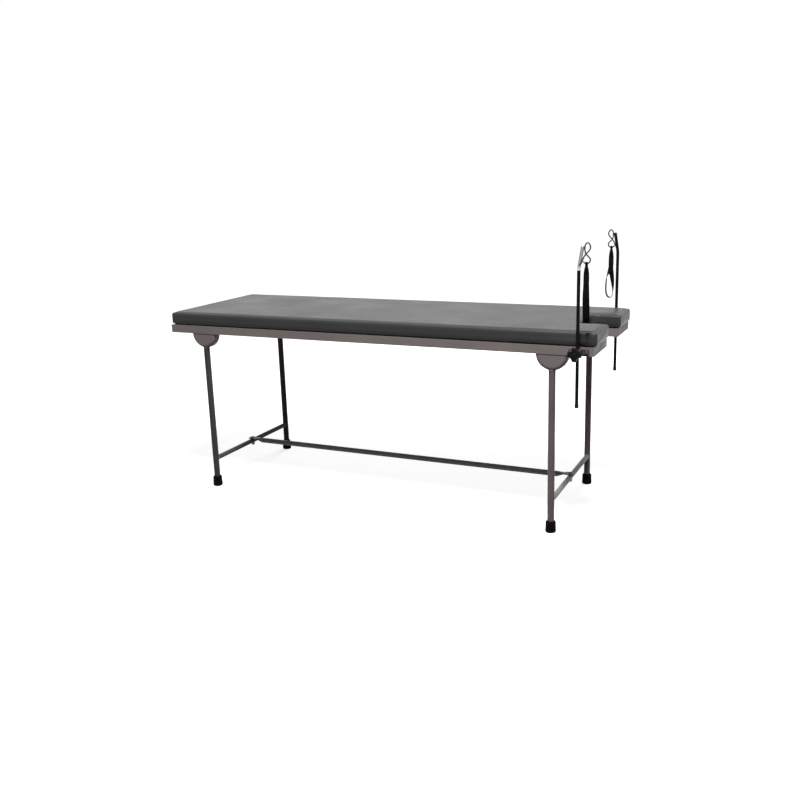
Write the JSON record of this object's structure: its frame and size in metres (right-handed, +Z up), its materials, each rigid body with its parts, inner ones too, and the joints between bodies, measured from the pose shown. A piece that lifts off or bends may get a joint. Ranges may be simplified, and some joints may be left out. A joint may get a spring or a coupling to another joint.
{
  "type": "gynaecological examination table",
  "caption": "Padded steel examination table with a notch at the foot end and clamped, sliding and turning lithotomy rods that carry ankle straps.",
  "frame": {"origin": "on the floor under the centre of the pad", "axes": "+X towards the foot end with the notch, +Y to the patient's left, +Z up"},
  "size_m": [1.83, 0.735, 1.07],
  "materials": {
    "pad_cover": "matte",
    "board": "matte",
    "frame_paint": "satin",
    "bar_paint": "satin",
    "chromed_steel": "polished",
    "zinc_steel": "satin",
    "clamp_paint": "satin",
    "foot_rubber": "matte",
    "knob_plastic": "satin",
    "strap_webbing": "matte"
  },
  "bodies": {
    "root": {"clamp_screws_left": "zinc_steel", "clamp_screws_right": "zinc_steel", "cross_bar_foot": "bar_paint", "cross_bar_head": "bar_paint", "deck_member_1": "frame_paint", "deck_member_2": "frame_paint", "deck_member_3": "frame_paint", "foot_rail_left": "frame_paint", "foot_rail_right": "frame_paint", "gusset_foot_left": "frame_paint", "gusset_foot_right": "frame_paint", "gusset_head_left": "frame_paint", "gusset_head_right": "frame_paint", "head_rail": "frame_paint", "leg_foot_left": "frame_paint", "leg_foot_right": "frame_paint", "leg_head_left": "frame_paint", "leg_head_right": "frame_paint", "long_stretcher": "bar_paint", "mattress_pad": "pad_cover", "notch_cross_rail": "frame_paint", "notch_rail_left": "frame_paint", "notch_rail_right": "frame_paint", "pad_board": "board", "pad_screws": "zinc_steel", "rod_clamp_left": "clamp_paint", "rod_clamp_right": "clamp_paint", "rubber_foot_foot_left": "foot_rubber", "rubber_foot_foot_right": "foot_rubber", "rubber_foot_head_left": "foot_rubber", "rubber_foot_head_right": "foot_rubber", "side_rail_left": "frame_paint", "side_rail_right": "frame_paint", "stretcher_bolts": "zinc_steel", "stretcher_nuts": "zinc_steel", "stretcher_washers": "zinc_steel"},
    "rod_slide_right": {"rod_end_cap_right": "foot_rubber"},
    "rod_right": {"lithotomy_rod_right": "chromed_steel", "strap_hook_right": "chromed_steel"},
    "strap_right": {"ankle_strap_right": "strap_webbing"},
    "shoe_right": {"pressure_shoe_right": "zinc_steel"},
    "knob_right": {"clamp_stud_right": "zinc_steel", "star_knob_right": "knob_plastic"},
    "rod_slide_left": {"rod_end_cap_left": "foot_rubber"},
    "rod_left": {"lithotomy_rod_left": "chromed_steel", "strap_hook_left": "chromed_steel"},
    "strap_left": {"ankle_strap_left": "strap_webbing"},
    "shoe_left": {"pressure_shoe_left": "zinc_steel"},
    "knob_left": {"clamp_stud_left": "zinc_steel", "star_knob_left": "knob_plastic"}
  },
  "joints": [
    {"name": "rod_lift_right", "type": "slide", "parent": "root", "child": "rod_slide_right", "axis": [0, 0, 1], "range_m": [-0.25, 0.15]},
    {"name": "rod_turn_right", "type": "hinge", "parent": "rod_slide_right", "child": "rod_right", "pos_m": [0.849, -0.316, 0.691], "axis": [0, 0, -1], "continuous": true},
    {"name": "strap_swing_right", "type": "hinge", "parent": "rod_right", "child": "strap_right", "pos_m": [0.875, -0.316, 0.9982], "axis": [1, 0, 0], "range_deg": [-75, 75]},
    {"name": "shoe_press_right", "type": "slide", "parent": "root", "child": "shoe_right", "axis": [0, -1, 0], "range_m": [0, 0.0025]},
    {"name": "knob_turn_right", "type": "hinge", "parent": "shoe_right", "child": "knob_right", "pos_m": [0.849, -0.346, 0.691], "axis": [0, -1, 0], "range_deg": [0, 720]},
    {"name": "rod_lift_left", "type": "slide", "parent": "root", "child": "rod_slide_left", "axis": [0, 0, 1], "range_m": [-0.25, 0.15]},
    {"name": "rod_turn_left", "type": "hinge", "parent": "rod_slide_left", "child": "rod_left", "pos_m": [0.849, 0.316, 0.691], "axis": [0, 0, -1], "continuous": true},
    {"name": "strap_swing_left", "type": "hinge", "parent": "rod_left", "child": "strap_left", "pos_m": [0.823, 0.316, 0.9982], "axis": [-1, 0, 0], "range_deg": [-75, 75]},
    {"name": "shoe_press_left", "type": "slide", "parent": "root", "child": "shoe_left", "axis": [0, 1, 0], "range_m": [0, 0.0025]},
    {"name": "knob_turn_left", "type": "hinge", "parent": "shoe_left", "child": "knob_left", "pos_m": [0.849, 0.346, 0.691], "axis": [0, 1, 0], "range_deg": [0, 720]}
  ],
  "couplings": [
    {"joint": "knob_turn_right", "follows": "shoe_press_right", "rad_per_m": 5026.5},
    {"joint": "knob_turn_left", "follows": "shoe_press_left", "rad_per_m": 5026.5}
  ]
}
